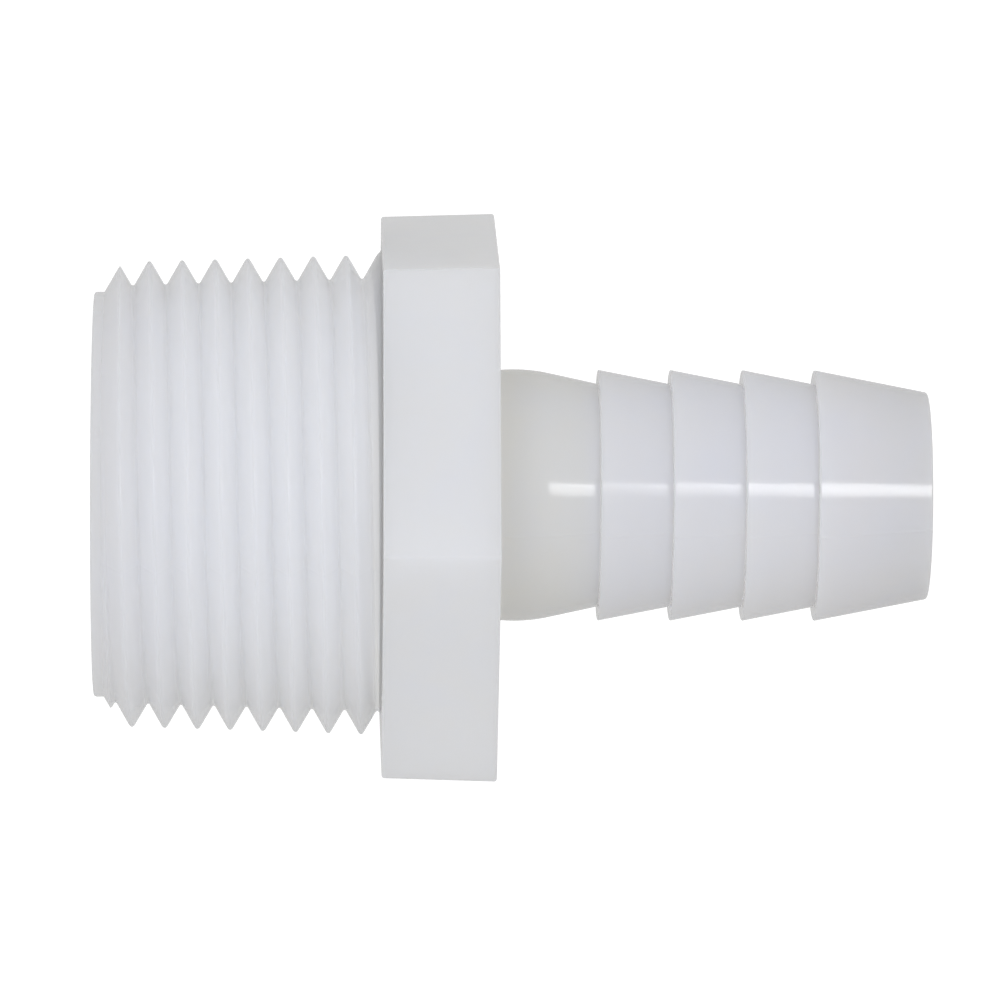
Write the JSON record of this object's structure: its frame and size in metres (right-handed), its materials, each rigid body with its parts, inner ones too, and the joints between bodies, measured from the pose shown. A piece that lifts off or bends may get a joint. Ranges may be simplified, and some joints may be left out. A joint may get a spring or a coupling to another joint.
{
  "type": "pipe thread to hose barb adapter",
  "caption": "Straight plastic adapter for a thru hull fitting: tapered male pipe thread at one end, hexagonal wrench collar, barbed hose tail at the other, open bore through all.",
  "frame": {"origin": "centre of the threaded end face, on the axis of the bore", "axes": "+X along the bore from the threaded end to the hose tail; +Z square to one pair of the collar's flats, up; +Y completes a right-handed frame and passes through two of the collar's corners"},
  "size_m": [0.0462, 0.0332, 0.0288],
  "materials": {
    "natural_nylon": "satin, milky translucent, uncoloured moulding"
  },
  "bodies": {
    "root": {"lead_ring": "natural_nylon", "spigot_body": "natural_nylon", "pipe_thread": "natural_nylon", "hex_collar": "natural_nylon", "tail_neck": "natural_nylon", "barb_1": "natural_nylon", "barb_2": "natural_nylon", "barb_3": "natural_nylon", "barb_4": "natural_nylon"}
  },
  "joints": []
}
